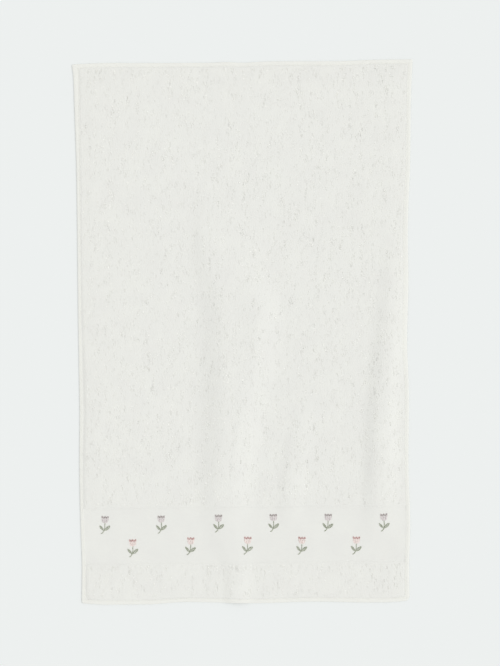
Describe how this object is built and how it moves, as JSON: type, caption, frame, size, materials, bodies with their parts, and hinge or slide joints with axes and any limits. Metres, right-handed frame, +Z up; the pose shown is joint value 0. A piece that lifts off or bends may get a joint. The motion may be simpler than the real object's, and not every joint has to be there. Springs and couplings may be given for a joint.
{
  "type": "hand towel",
  "caption": "Off-white cotton terry hand towel lying face up in soft ridges, with flat hems and a flat-woven border of small embroidered tulips near one end.",
  "frame": {"origin": "on the surface the towel lies on, under the middle of its outline", "axes": "+X across the towel, +Y along it towards its plain end, +Z up through its face"},
  "size_m": [0.5026, 0.8, 0.0116],
  "materials": {
    "cotton_terry": "looped pile, off-white, matt",
    "cotton_ground": "plain flat weave of the hems and border, off-white, matt",
    "embroidery_thread": "fine stranded embroidery thread, pale mauve, pale rose and sage green, soft sheen"
  },
  "bodies": {
    "root": {"towel": "cotton_terry"}
  },
  "joints": []
}
